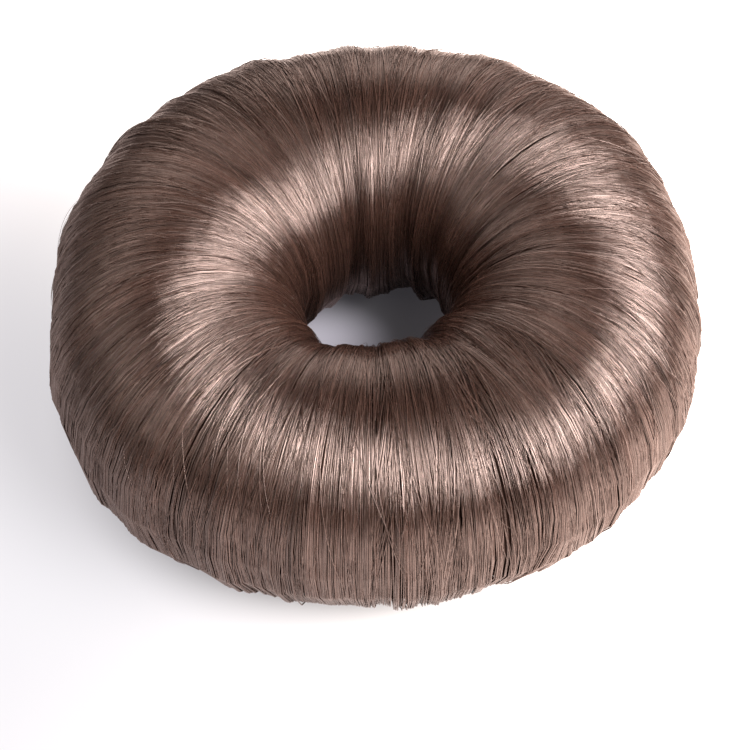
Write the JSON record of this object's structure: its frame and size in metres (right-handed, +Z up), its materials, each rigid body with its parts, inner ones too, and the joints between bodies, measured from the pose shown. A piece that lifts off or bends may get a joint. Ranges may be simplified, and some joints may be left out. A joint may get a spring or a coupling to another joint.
{
  "type": "hair bun donut",
  "caption": "Padded ring of combed synthetic hair with a round hole, pushed over a ponytail to shape and fill out a bun.",
  "frame": {"origin": "on the surface that the ring rests on, under the middle of its outline", "axes": "+Z up through the hole; -Y towards the viewer of the picture, +X to the viewer's right"},
  "size_m": [0.0946, 0.0946, 0.0387],
  "materials": {
    "hair": "satin combed synthetic hair, cool mid brown"
  },
  "bodies": {
    "root": {"hair_ring": "hair"}
  },
  "joints": []
}
